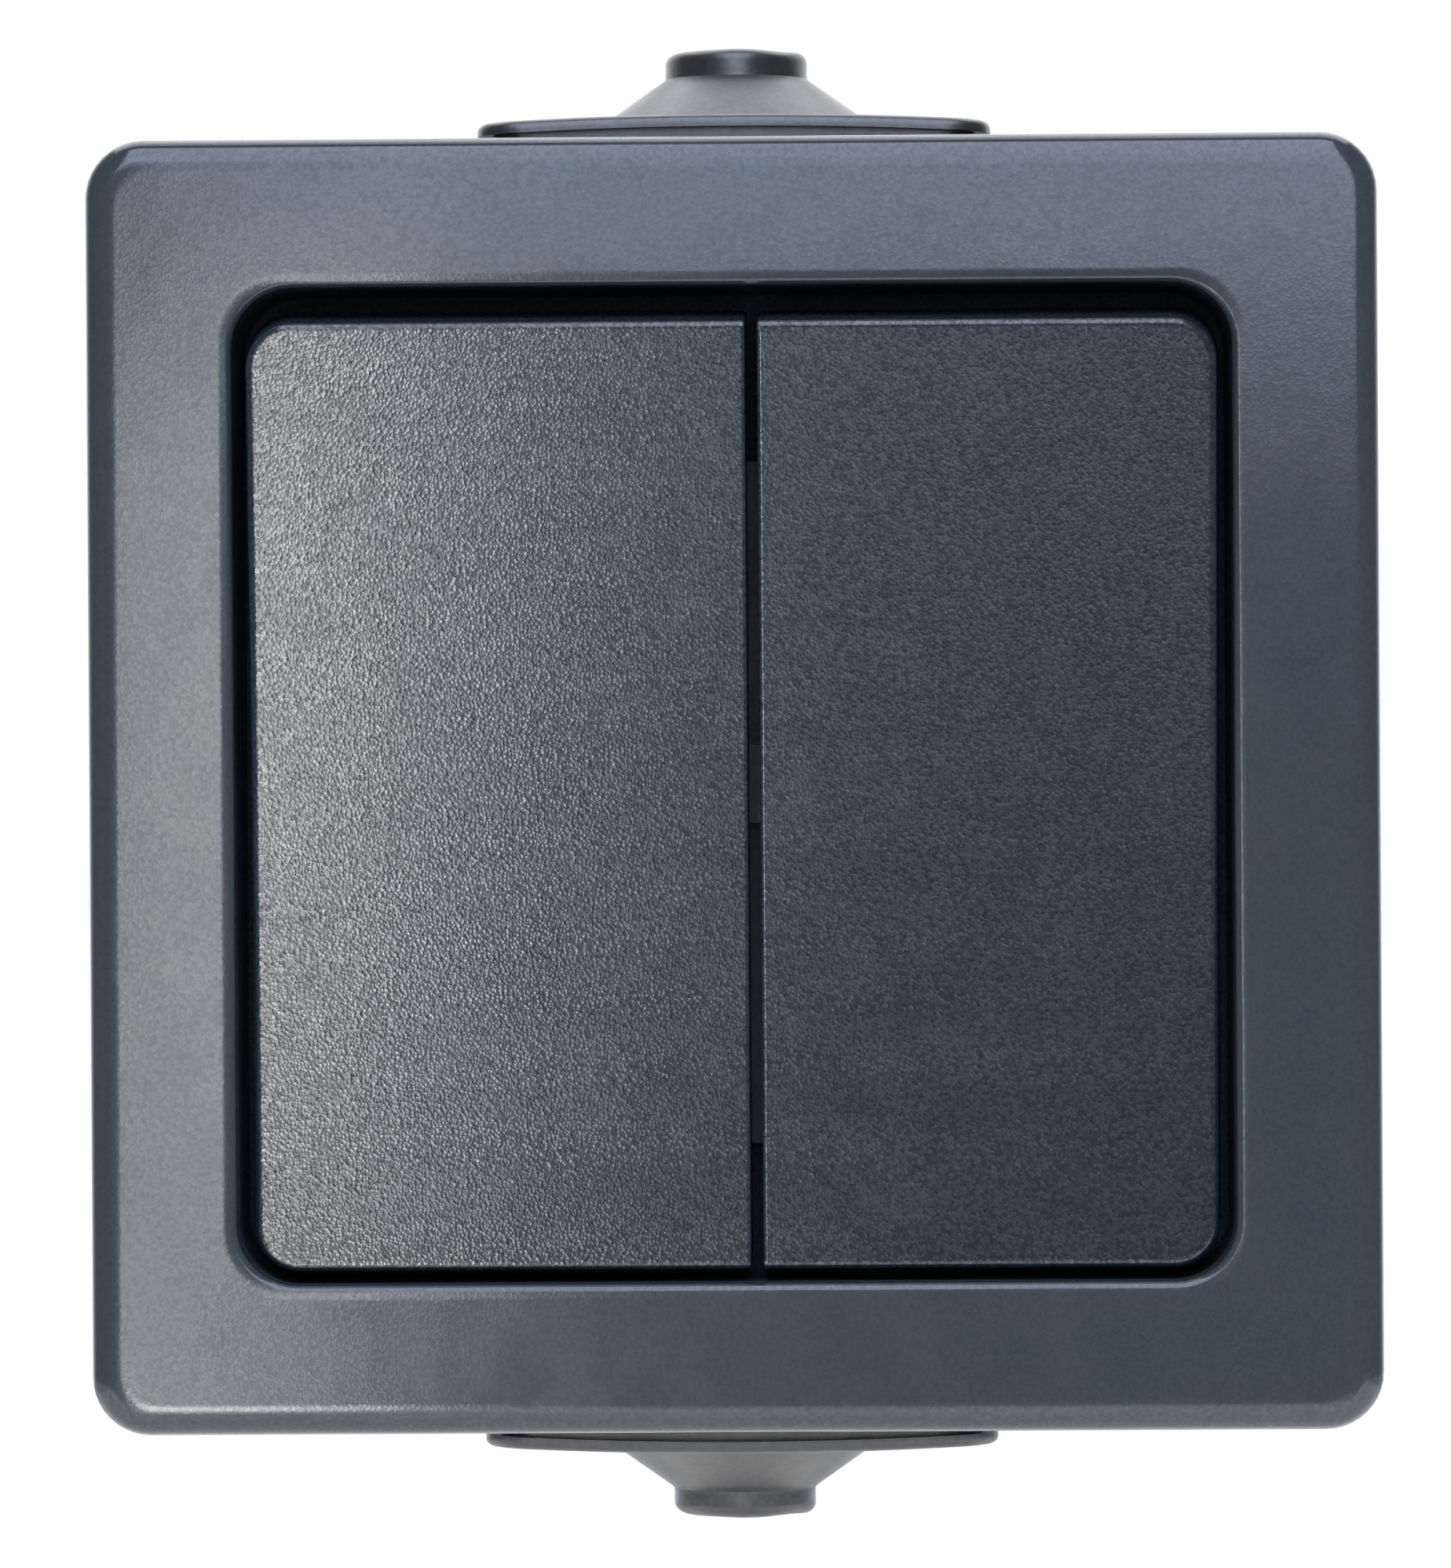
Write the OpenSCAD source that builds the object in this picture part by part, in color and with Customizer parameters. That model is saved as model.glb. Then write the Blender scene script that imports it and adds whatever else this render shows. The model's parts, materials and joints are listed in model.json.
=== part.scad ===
// Splash-proof surface-mounted two-gang rocker switch.
// X points right, Z points up, and the wall is the plane y = 0 with the room on its -Y side.
// A depth is a distance from the wall into the room, so a depth d lies at y = -d.

/* [Cover frame] */
// Width of the cover frame
cover_w = 66; // [65.8:0.1:68]
// Height of the cover frame
cover_h = 66.2; // [66:0.1:68]
// Depth of the cover frame's front face
cover_front = 45; // [44.6:0.1:46]
// Radius of the cover frame's corners
cover_corner_r = 3; // [2.5:0.1:5]
// Radius of the round along the cover frame's front edge
cover_edge_r = 1.3; // [0.6:0.1:2]
// Width of the window
window_w = 51; // [50.6:0.1:51.6]
// Height of the window
window_h = 50.9; // [50.6:0.1:51.6]
// Radius of the window's corners
window_r = 3.1; // [2.6:0.1:3.8]

/* [Rockers] */
// Width over both rockers
rockers_w = 49.3; // [48.9:0.1:49.6]
// Height of a rocker's face
rocker_h = 48.5; // [48:0.1:48.8]
// Distance of the split between the rockers right of the middle
split_x = 0.93; // [0:0.01:1]
// Width of the gap between the rockers
split_gap = 0.66; // [0.4:0.01:0.9]
// Depth of a rocker's rim when the rocker stands level
rocker_front = 45.3; // [45:0.1:45.6]
// Hollow of a rocker's face below its rim
rocker_dish = 0.7; // [0.3:0.1:0.9]
// Radius of the rockers' outer corners
rocker_corner_r = 2.3; // [1.5:0.1:3]
// Angle that a rocker leans to either side of level
rocker_tilt = 4.5; // [3:0.1:4.7]
// Depth of the rockers' pivot pin
pivot_depth = 37; // [36.9:0.05:37.1]

/* [Base box] */
// Width of the base box
box_w = 65.4; // [65:0.1:65.8]
// Height of the base box
box_h = 65.6; // [65.2:0.1:66]
// Thickness of the base box's back
back_t = 2.5; // [2:0.1:3]
// Radius of the screw holes in the back
wall_hole_r = 2.25; // [1.8:0.05:2.6]
// Distance between the wall screws across
wall_hole_dx = 50; // [48:0.5:51]
// Distance between the wall screws up and down
wall_hole_dz = 42; // [40:0.5:46]

/* [Cable grommets] */
// Depth of the cable entries' axis
entry_depth = 20; // [19:0.5:21]
// Width of a grommet's flange
flange_w = 27; // [25:0.5:30]
// Radius of a grommet's cap
cap_r = 3.8; // [3:0.1:4.5]
// Height of a grommet's cap end above the middle of the box
cap_top = 39.5; // [39:0.1:41]

/* [Hidden] */
$fn = 64;
HULL_FN = 32;
LEFT = -1;
RIGHT = 1;
SKIN = 0.5;
LAYER = 0.1;
MIN_R = 0.4;

// Cover frame
skirt_t = 1.5;
skirt_back = 34.8;
plate_t = 3;
well_t = 1.5;
ledge_front = 36.5;
ledge_t = 2;
ledge_back = ledge_front - ledge_t;
skirt_in_w = cover_w - 2 * skirt_t;
skirt_in_h = cover_h - 2 * skirt_t;
plate_back = cover_front - plate_t;

// Base box
shoulder_depth = 34.5;
rim_clear = 0.2;
rim_w = skirt_in_w - 2 * rim_clear;
rim_h = skirt_in_h - 2 * rim_clear;
rim_t = 1.3;
rim_depth = 40.5;
cavity_w = rim_w - 2 * rim_t;
cavity_h = rim_h - 2 * rim_t;
box_corner_r = 3;
rim_corner_r = 1.8;
cavity_corner_r = 1;

// Module: the insulating block with its bridge
module_w = 44;
module_h = 30.8;
module_corner_r = 1.2;
module_back = 8;
module_front = 28;
bridge_front = 31;
collar_front = 36;
collar_t = 1.2;
seal_t = 1.15;
seal_fit = 0.05;
opening_w = module_w + 2 * seal_t;
opening_h = module_h + 2 * seal_t;
seal_back = 34.2;
seal_front = 36.4;

// Mechanism centres, left and right of the middle
unit_x = 11.5;
pin_r = 1;
pin_clear = 0.05;
cheek_in = 20;
cheek_out = 21.8;
cheek_h = 8;
boss_front = 39.2;
rib_w = 3;
rib_top = 16.7;
rib_bottom = -18.6;
rib_front = 37.4;
rib_root_h = module_h - 1;
rib_over = 0.1;

// Screws
module_screw_x = 18.2;
module_screw_z = 11.6;
cover_screw_x = 15;
cover_screw_z = 19.7;
thread_r = 1.45;
screw_r = 1.4;
clear_r = 1.7;
post_r = 3.2;
post_front = 34.3;
foot_r = 3;
module_screw_end = 3.6;
cover_screw_end = 24;
head_r = 2.5;
head_t = 1.7;
slot_w = 0.7;
slot_t = 0.9;

// Rockers
rocker_skirt = 6.6;
rocker_inner_skirt = 5.2;
rocker_wall = 1.5;
rocker_flare = 0.3;
rocker_edge = 0.3;
rocker_land = 1;
rocker_under = 42.9;
inner_corner_r = 0.5;
dish_r = (pow(rocker_h / 2, 2) + pow(rocker_dish, 2)) / (2 * rocker_dish);

// Actuators, plungers and springs
hub_r = 2.5;
hub_clear = 0.25;
arm_w = 16;
arm_h = 18;
arm_back = 38.4;
arm_front = 40.2;
prong_z = 6.5;
prong_w = 5;
prong_t = 1.6;
prong_front = 42.2;
prong_clear = 0.05;
socket_wall = 1.4;
socket_back = 40.9;
stem_r = 3.5;
stem_back = 27;
barrel_r = 2;
barrel_front = 34.2;
plunger_r = 1.9;
plunger_front = 30;
spring_r = 1.42;
spring_wire_r = 0.23;
spring_turns = 5;

// Contacts
lever_back = 18.5;
saddle_t = 0.8;
saddle_h = 2.6;
hinge_depth = lever_back - saddle_t;
lever_t = 0.9;
lever_half = 8;
lever_w = 5;
lever_tilt = 5;
tip_gap = 0.06;
plunger_tip = lever_back + lever_t + tip_gap;
tip_r = 1.3;
tip_t = 1.2;
tip_z = 6.6;
tip_shift = 0.1;
contact_gap = 0.05;
edge_r = 0.6;
strip_t = 0.8;
strip_fit = 0.1;
contact_w = 4;
contact_over = 0.2;
contact_end = -tip_z + tip_r + contact_over;
bus_back = 11;
tab_back = 14.7;
tab_front = tab_back + strip_t;
tip_reach = tip_t * cos(lever_tilt) + (tip_z + tip_r) * sin(lever_tilt);
fixed_tip_front = lever_back - tip_reach - contact_gap;

// Chambers and terminals of the module
chamber_w = 9;
chamber_h = 17.6;
chamber_back = 11;
pocket_w = 6.8;
pocket_end = 14.6;
cross_h = 5.6;
clamp_w = 6.4;
clamp_in = 9.2;
clamp_out = 14.4;
clamp_z = (clamp_in + clamp_out) / 2;
clamp_front = 23.3;
wire_depth = 18.2;
wire_r = 1.6;
wire_entry_r = 1.7;
terminal_head_r = 2.2;
terminal_head_back = 24.2;
terminal_access_r = 2.5;
stem_slot_w = 8.4;
stem_slot_h = 11;
pad_w = 1.4;
pad_x = 2;
pad_z = 6.8;
pad_over = 0.1;
pad_end = chamber_h / 2 + pad_over;

// Grommets
flange_d = 24;
flange_corner_r = 2;
flange_end_z = 34.6;
flange_mid_z = 35.1;
flange_rise = flange_mid_z - flange_end_z;
flange_arc_r = (pow(flange_w / 2, 2) + pow(flange_rise, 2)) / (2 * flange_rise);
entry_r = 10;
neck_clear = 0.05;
lip_r = 11;
lip_t = 1.1;
lip_taper = 0.5;
cone_foot_r = 8.4;
cone_foot_z = 34.4;
cone_head_r = 3.85;
cone_head_z = 38.1;
cap_edge_r = 0.5;
rubber_t = 1.2;

COVER_GREY = "#454f59";
ROCKER_GREY = "#3b4652";
BOX_GREY = "#363e47";
RUBBER_GREY = "#333a42";
MODULE_GREY = "#2b2b2b";

// ---- shared shapes ----

// A flat outline in the XZ plane, from depth d0 to depth d1
module from_depth(d0, d1) {
    translate([0, -d0, 0])
        rotate([90, 0, 0])
            linear_extrude(d1 - d0)
                children();
}

module rounded_rect(w, h, r) {
    square([w - 2 * r, h], center = true);
    square([w, h - 2 * r], center = true);
    for (sx = [-1, 1], sz = [-1, 1])
        translate([sx * (w / 2 - r), sz * (h / 2 - r)])
            circle(r);
}

module slab(w, h, r, d0, d1) {
    from_depth(d0, d1)
        rounded_rect(w, h, r);
}

module ring(w, h, r, wall, d0, d1) {
    difference() {
        slab(w, h, r, d0, d1);
        slab(w - 2 * wall, h - 2 * wall, max(r - wall, MIN_R), d0 - SKIN, d1 + SKIN);
    }
}

// The two ends of a span that reaches half to either side of a middle
function around(middle, half) = [middle - half, middle + half];

// Two values in rising order
function sorted(pair) = [min(pair), max(pair)];

// A box between two values of x, of depth and of z
module block(x, d, z) {
    translate([x[0], -d[1], z[0]])
        cube([x[1] - x[0], d[1] - d[0], z[1] - z[0]]);
}

module rod_x(r, x0, x1) {
    translate([x0, 0, 0])
        rotate([0, 90, 0])
            cylinder(r = r, h = x1 - x0);
}

module rod_y(r, d0, d1) {
    translate([0, -d0, 0])
        rotate([90, 0, 0])
            cylinder(r = r, h = d1 - d0);
}

// A rod along the depth, at a place (x, z)
module rod_at(x, z, r, d0, d1) {
    translate([x, 0, z])
        rod_y(r, d0, d1);
}

// Turns its children about the rockers' pivot pin
module leaned(angle) {
    translate([0, -pivot_depth, 0])
        rotate([angle, 0, 0])
            translate([0, pivot_depth, 0])
                children();
}

// A slotted pan-head screw whose head stands on depth seat
module screw(r, end, seat, head) {
    difference() {
        union() {
            rod_y(r, end, seat + head_t / 2);
            rod_y(head, seat, seat + head_t);
        }
        translate([-head - SKIN, -seat - head_t - SKIN, -slot_w / 2])
            cube([2 * (head + SKIN), slot_t + SKIN, slot_w]);
    }
}

// ---- housing ----

module base_box() {
    color(BOX_GREY)
        difference() {
            union() {
                difference() {
                    union() {
                        slab(box_w, box_h, box_corner_r, 0, shoulder_depth);
                        slab(rim_w, rim_h, rim_corner_r, back_t, rim_depth);
                    }
                    slab(cavity_w, cavity_h, cavity_corner_r, back_t, rim_depth + SKIN);
                }
                for (s = [LEFT, RIGHT])
                    rod_at(s * cover_screw_x, -s * cover_screw_z, post_r, back_t - SKIN, post_front);
                for (sx = [-1, 1], sz = [-1, 1])
                    rod_at(sx * module_screw_x, sz * module_screw_z, foot_r, back_t - SKIN, module_back);
            }
            for (s = [LEFT, RIGHT]) {
                rod_at(s * cover_screw_x, -s * cover_screw_z, thread_r, cover_screw_end - SKIN,
                       post_front + SKIN);
                rod_at(s * module_screw_x, -s * module_screw_z, thread_r, module_screw_end - SKIN,
                       module_back + SKIN);
            }
            for (sx = [-1, 1], sz = [-1, 1])
                rod_at(sx * wall_hole_dx / 2, sz * wall_hole_dz / 2, wall_hole_r, -SKIN, back_t + SKIN);
            translate([0, -entry_depth, -box_h / 2 - SKIN])
                cylinder(r = entry_r, h = box_h + 2 * SKIN);
        }
}

// One grommet, for the top wall: a flange outside, a neck in the wall, a lip inside and a hollow
// stepped cone closed by its cap
module cable_grommet() {
    wall_in = cavity_h / 2;
    wall_out = box_h / 2;
    hollow_start = wall_in - lip_t - SKIN;
    hollow_drop = rubber_t / 3;
    color(RUBBER_GREY)
        translate([0, -entry_depth, 0])
            difference() {
                union() {
                    intersection() {
                        translate([0, 0, wall_out])
                            linear_extrude(flange_mid_z - wall_out + SKIN)
                                rounded_rect(flange_w, flange_d, flange_corner_r);
                        translate([0, flange_d, flange_mid_z - flange_arc_r])
                            rotate([90, 0, 0])
                                cylinder(r = flange_arc_r, h = 2 * flange_d, $fn = 360);
                    }
                    rotate_extrude()
                        polygon([[0, wall_in - lip_t], [lip_r - lip_taper, wall_in - lip_t],
                                 [lip_r, wall_in], [entry_r - neck_clear, wall_in],
                                 [entry_r - neck_clear, wall_out], [cone_foot_r, wall_out],
                                 [cone_foot_r, cone_foot_z], [cone_head_r, cone_head_z],
                                 [cap_r, cone_head_z], [cap_r, cap_top - cap_edge_r],
                                 [cap_r - cap_edge_r, cap_top], [0, cap_top]]);
                }
                rotate_extrude()
                    polygon([[0, hollow_start], [cone_foot_r - rubber_t, hollow_start],
                             [cone_foot_r - rubber_t, cone_foot_z - hollow_drop],
                             [cone_head_r - rubber_t, cone_head_z - hollow_drop],
                             [cone_head_r - rubber_t, cap_top - rubber_t], [0, cap_top - rubber_t]]);
            }
}

module top_cable_grommet() {
    cable_grommet();
}

module bottom_cable_grommet() {
    mirror([0, 0, 1])
        cable_grommet();
}

// The frame's outer form: straight sides and a round front edge, made of a few thin slabs
module cover_outside() {
    steps = 5;
    hull() {
        slab(cover_w, cover_h, cover_corner_r, skirt_back, cover_front - cover_edge_r, $fn = HULL_FN);
        for (i = [1:steps]) {
            a = 90 * i / steps;
            inset = cover_edge_r * (1 - cos(a));
            slab(cover_w - 2 * inset, cover_h - 2 * inset, cover_corner_r - inset,
                 skirt_back, cover_front - cover_edge_r * (1 - sin(a)), $fn = HULL_FN);
        }
    }
}

module cover_frame() {
    color(COVER_GREY)
        difference() {
            union() {
                difference() {
                    cover_outside();
                    slab(skirt_in_w, skirt_in_h, cover_corner_r - skirt_t / 2, skirt_back - SKIN,
                         plate_back);
                }
                slab(window_w + 2 * well_t, window_h + 2 * well_t, window_r + well_t, ledge_back,
                     plate_back + SKIN);
            }
            slab(window_w, window_h, window_r, ledge_front, cover_front + SKIN);
            slab(opening_w, opening_h, module_corner_r, ledge_back - SKIN, ledge_front + SKIN);
            for (s = [LEFT, RIGHT])
                rod_at(s * cover_screw_x, -s * cover_screw_z, clear_r, ledge_back - SKIN,
                       ledge_front + SKIN);
        }
}

module cover_gasket() {
    color("#1c1e20")
        ring(rim_w, rim_h, rim_corner_r, rim_t, rim_depth, plate_back);
}

module cover_screws() {
    color("silver")
        for (s = [LEFT, RIGHT])
            translate([s * cover_screw_x, 0, -s * cover_screw_z])
                screw(screw_r, cover_screw_end, ledge_front, head_r);
}

module window_seal() {
    color("#1c1e20")
        ring(opening_w - 2 * seal_fit, opening_h - 2 * seal_fit, module_corner_r, seal_t - 2 * seal_fit,
             seal_back, seal_front);
}

// ---- switch module ----

module module_body() {
    color(MODULE_GREY)
        difference() {
            union() {
                difference() {
                    slab(module_w, module_h, module_corner_r, module_back, module_front);
                    for (s = [LEFT, RIGHT]) {
                        block(around(s * unit_x, chamber_w / 2),
                              [chamber_back, module_front + SKIN], around(0, chamber_h / 2));
                        block(around(s * unit_x, pocket_w / 2),
                              [tab_back, module_front + SKIN], around(0, pocket_end));
                    }
                    block(around(0, unit_x), [bus_back, module_front + SKIN], around(0, cross_h / 2));
                }
                for (s = [LEFT, RIGHT], side = [-1, 1])
                    block(around(s * unit_x + side * pad_x, pad_w / 2),
                          [chamber_back - SKIN, lever_stop()], [pad_z, pad_end]);
            }
            for (s = [LEFT, RIGHT])
                rod_at(s * module_screw_x, -s * module_screw_z, clear_r, module_back - SKIN,
                       module_front + SKIN);
            for (s = [LEFT, RIGHT], end = [-1, 1])
                translate([s * unit_x, -wire_depth, end * (module_h / 2 + clamp_out) / 2])
                    cylinder(r = wire_entry_r, h = module_h / 2 - clamp_out + 2 * SKIN, center = true);
        }
}

// Depth of the two pads that a lever's upper end rests on
function lever_stop() = lever_back - lever_half * sin(lever_tilt) - contact_gap;

// The retaining plate: slots for the stems, a collar for the seal, and the bearings of the pin
module module_bridge() {
    color("#1f1f20")
        difference() {
            union() {
                slab(module_w, module_h, module_corner_r, module_front, bridge_front);
                ring(module_w, module_h, module_corner_r, collar_t, bridge_front - SKIN, collar_front);
                for (s = [LEFT, RIGHT])
                    block(sorted([s * cheek_in, s * cheek_out]), [bridge_front - SKIN, boss_front],
                          around(0, cheek_h / 2));
                translate([split_x, 0, 0]) {
                    block(around(0, rib_w / 2), [bridge_front - SKIN, ledge_front + rib_over],
                          around(0, rib_root_h / 2));
                    block(around(0, rib_w / 2), [ledge_front + rib_over, rib_front],
                          [rib_bottom, rib_top]);
                    block(around(0, rib_w / 2), [rib_front - SKIN, boss_front], around(0, cheek_h / 4));
                }
            }
            translate([0, -pivot_depth, 0])
                rod_x(pin_r + pin_clear / 2, -cheek_out - SKIN, cheek_out + SKIN);
            for (s = [LEFT, RIGHT]) {
                block(around(s * unit_x, stem_slot_w / 2),
                      [module_front - SKIN, bridge_front + SKIN], around(0, stem_slot_h / 2));
                rod_at(s * module_screw_x, -s * module_screw_z, clear_r, module_front - SKIN,
                       bridge_front + SKIN);
                for (z = [-clamp_z, clamp_z])
                    rod_at(s * unit_x, z, terminal_access_r, module_front - SKIN, bridge_front + SKIN);
            }
        }
}

module module_screws() {
    color("silver")
        for (s = [LEFT, RIGHT])
            translate([s * module_screw_x, 0, -s * module_screw_z])
                screw(screw_r, module_screw_end, bridge_front, head_r);
}

module pivot_pin() {
    color("silver")
        translate([0, -pivot_depth, 0])
            rod_x(pin_r, -cheek_out, cheek_out);
}

// ---- rockers and what moves with them ----

// The inner and outer x of one rocker
function rocker_inner(side) = split_x + side * split_gap / 2;
function rocker_outer(side) = side * rockers_w / 2;

// One thin layer of a rocker's outline, grown outwards by grow
module rocker_layer(side, grow, d0, d1) {
    inner = rocker_inner(side);
    outer = rocker_outer(side);
    for (sz = [-1, 1]) {
        rod_at(outer + side * (grow - rocker_corner_r), sz * (rocker_h / 2 + grow - rocker_corner_r),
               rocker_corner_r, d0, d1, $fn = HULL_FN);
        rod_at(inner + side * (inner_corner_r - min(grow, 0)),
               sz * (rocker_h / 2 + grow - inner_corner_r), inner_corner_r, d0, d1, $fn = HULL_FN);
    }
}

module rocker_level(side) {
    inner = rocker_inner(side);
    outer = rocker_outer(side);
    back = rocker_front - rocker_skirt;
    cavity = sorted([inner + side * rocker_wall, outer - side * rocker_wall]);
    inner_cut = sorted([inner - side * SKIN, inner + side * (rocker_wall + SKIN)]);
    cavity_z = rocker_h / 2 - rocker_wall;
    difference() {
        union() {
            difference() {
                hull() {
                    rocker_layer(side, rocker_flare, back, back + LAYER);
                    rocker_layer(side, 0, rocker_front - rocker_land, rocker_front - rocker_edge);
                    rocker_layer(side, -rocker_edge, rocker_front - rocker_edge, rocker_front);
                }
                block(cavity, [back - SKIN, rocker_under], around(0, cavity_z));
                block(inner_cut, [back - SKIN, rocker_front - rocker_inner_skirt], around(0, cavity_z));
            }
            for (z = [-prong_z, prong_z])
                translate([side * unit_x, 0, z])
                    block(around(0, prong_w / 2 + socket_wall),
                          [socket_back, rocker_under + SKIN],
                          around(0, prong_t / 2 + socket_wall));
        }
        for (z = [-prong_z, prong_z])
            translate([side * unit_x, 0, z])
                block(around(0, prong_w / 2 + prong_clear),
                      [socket_back - SKIN, prong_front + prong_clear],
                      around(0, prong_t / 2 + prong_clear));
        translate([-rockers_w, -rocker_front + rocker_dish - dish_r, 0])
            rotate([0, 90, 0])
                cylinder(r = dish_r, h = 2 * rockers_w, $fn = 720);
    }
}

module left_rocker() {
    color(ROCKER_GREY)
        leaned(rocker_tilt)
            rocker_level(LEFT);
}

module right_rocker() {
    color(ROCKER_GREY)
        leaned(rocker_tilt)
            rocker_level(RIGHT);
}

// The yoke on the pin: a hub, an arm with two prongs for the rocker, and a stem with a blind barrel
module actuator(side) {
    rib_face = split_x + side * rib_w / 2;
    hub_x = sorted([rib_face + side * hub_clear, side * (cheek_in - hub_clear)]);
    color("#e8e4da")
        leaned(rocker_tilt)
            difference() {
                union() {
                    translate([0, -pivot_depth, 0])
                        rod_x(hub_r, hub_x[0], hub_x[1]);
                    block(around(side * unit_x, arm_w / 2), [arm_back, arm_front], around(0, arm_h / 2));
                    for (z = [-prong_z, prong_z])
                        translate([side * unit_x, 0, z])
                            block(around(0, prong_w / 2), [arm_front - SKIN, prong_front],
                                  around(0, prong_t / 2));
                    rod_at(side * unit_x, 0, stem_r, stem_back, pivot_depth);
                }
                translate([0, -pivot_depth, 0])
                    rod_x(pin_r + pin_clear, -cheek_out, cheek_out);
                rod_at(side * unit_x, 0, barrel_r, stem_back - SKIN, barrel_front);
            }
}

module left_actuator() {
    actuator(LEFT);
}

module right_actuator() {
    actuator(RIGHT);
}

// A helix of round wire along the depth, closed at both ends
module coil_spring(side) {
    per_turn = 20;
    sides = 8;
    length = barrel_front - plunger_front - 2 * spring_wire_r;
    count = spring_turns * per_turn;
    function ring_at(i) = [
        for (k = [0:sides - 1])
            let (a = 360 * i / per_turn, b = 360 * k / sides, r = spring_r + spring_wire_r * cos(b))
            [r * cos(a), -(plunger_front + spring_wire_r + length * i / count) + spring_wire_r * sin(b),
             r * sin(a)]
    ];
    points = [for (i = [0:count]) each ring_at(i)];
    walls = [
        for (i = [0:count - 1], k = [0:sides - 1])
            let (n = (k + 1) % sides, a = i * sides, b = (i + 1) * sides)
            [a + k, b + k, b + n, a + n]
    ];
    start_cap = [for (k = [0:sides - 1]) k];
    end_cap = [for (k = [0:sides - 1]) count * sides + sides - 1 - k];
    color("silver")
        leaned(rocker_tilt)
            translate([side * unit_x, 0, 0])
                polyhedron(points, concat([start_cap, end_cap], walls));
}

module left_spring() {
    coil_spring(LEFT);
}

module right_spring() {
    coil_spring(RIGHT);
}

module plunger(side) {
    color("#f2f0ea")
        leaned(rocker_tilt)
            translate([side * unit_x, 0, 0]) {
                rod_y(plunger_r, plunger_tip + plunger_r, plunger_front);
                translate([0, -plunger_tip - plunger_r, 0])
                    sphere(plunger_r);
            }
}

module left_plunger() {
    plunger(LEFT);
}

module right_plunger() {
    plunger(RIGHT);
}

// ---- contacts and terminals ----

// Turns its children with a contact lever, about the edge that the lever rocks on
module tipped(angle) {
    translate([0, -hinge_depth, 0])
        rotate([-angle, 0, 0])
            translate([0, hinge_depth, 0])
                children();
}

// A flat lever with a saddle under its middle, which sits on the live strip's rounded edge
module contact_lever(side) {
    color("#c9a24a")
        tipped(lever_tilt)
            translate([side * unit_x, 0, 0])
                difference() {
                    union() {
                        block(around(0, lever_w / 2), [lever_back, lever_back + lever_t],
                              around(0, lever_half));
                        block(around(0, lever_w / 2), [hinge_depth, lever_back + lever_t],
                              around(0, saddle_h / 2));
                    }
                    translate([0, -hinge_depth, 0])
                        rod_x(edge_r + contact_gap, -lever_w / 2 - SKIN, lever_w / 2 + SKIN);
                }
}

module left_contact_lever() {
    contact_lever(LEFT);
}

module right_contact_lever() {
    contact_lever(RIGHT);
}

module moving_tip(side) {
    color("silver")
        tipped(lever_tilt)
            rod_at(side * unit_x, -tip_z, tip_r, lever_back - tip_t, lever_back);
}

module left_moving_tip() {
    moving_tip(LEFT);
}

module right_moving_tip() {
    moving_tip(RIGHT);
}

// The live strip: a cross bar, two lugs with a rounded edge, and a tab to each upper terminal
module common_bus() {
    bar_front = bus_back + strip_t;
    bar_h = 4.4;
    arm = 2;
    lug_w = 3;
    riser_z = chamber_h / 2 - strip_fit;
    color("#c9a24a")
        union() {
            block(around(0, unit_x + lug_w / 2), [bus_back, bar_front], around(0, bar_h / 2));
            for (s = [LEFT, RIGHT])
                translate([s * unit_x, 0, 0]) {
                    block(around(0, lug_w / 2), [bar_front, hinge_depth], around(0, edge_r));
                    translate([0, -hinge_depth, 0])
                        rod_x(edge_r, -lug_w / 2, lug_w / 2);
                    block(around(0, arm / 2), [bus_back, bar_front], [0, riser_z]);
                    block(around(0, arm / 2), [bus_back, tab_front], [riser_z - strip_t, riser_z]);
                    block(around(0, arm / 2), [tab_back, tab_front], [riser_z - strip_t, clamp_out]);
                }
        }
}

module fixed_contact(side) {
    color("#c9a24a")
        block(around(side * unit_x, contact_w / 2), [tab_back, tab_front], [-clamp_out, contact_end]);
}

module left_fixed_contact() {
    fixed_contact(LEFT);
}

module right_fixed_contact() {
    fixed_contact(RIGHT);
}

module fixed_tips() {
    color("silver")
        for (s = [LEFT, RIGHT])
            rod_at(s * unit_x, -tip_z - tip_shift, tip_r, tab_front, fixed_tip_front);
}

module at_terminals() {
    for (s = [LEFT, RIGHT], z = [-clamp_z, clamp_z])
        translate([s * unit_x, 0, z])
            children();
}

module terminal_clamps() {
    depth_h = clamp_out - clamp_in;
    color("#d4b25c")
        at_terminals()
            difference() {
                block(around(0, clamp_w / 2), [tab_front, clamp_front], around(0, depth_h / 2));
                translate([0, -wire_depth, -depth_h / 2 - SKIN])
                    cylinder(r = wire_r, h = depth_h + 2 * SKIN);
                rod_y(thread_r, wire_depth, clamp_front + SKIN);
            }
}

module terminal_screws() {
    color("silver")
        at_terminals()
            screw(screw_r, wire_depth + wire_r, terminal_head_back, terminal_head_r);
}

base_box();
top_cable_grommet();
bottom_cable_grommet();
cover_frame();
cover_gasket();
cover_screws();
window_seal();
module_body();
module_bridge();
module_screws();
pivot_pin();
left_rocker();
right_rocker();
left_actuator();
right_actuator();
left_spring();
right_spring();
left_plunger();
right_plunger();
left_contact_lever();
right_contact_lever();
left_moving_tip();
right_moving_tip();
common_bus();
left_fixed_contact();
right_fixed_contact();
fixed_tips();
terminal_clamps();
terminal_screws();
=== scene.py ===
"""The looks of a two-gang rocker wall switch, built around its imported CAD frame.

Shape code works in millimetres: x to the right, z up, and depth is the distance from the wall into
the room, so a depth d lies at y = -d. Meshes are stored in metres, in the frame's own coordinates.
"""
import json
import math

import bmesh
import bpy
from mathutils import Matrix, Vector


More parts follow.
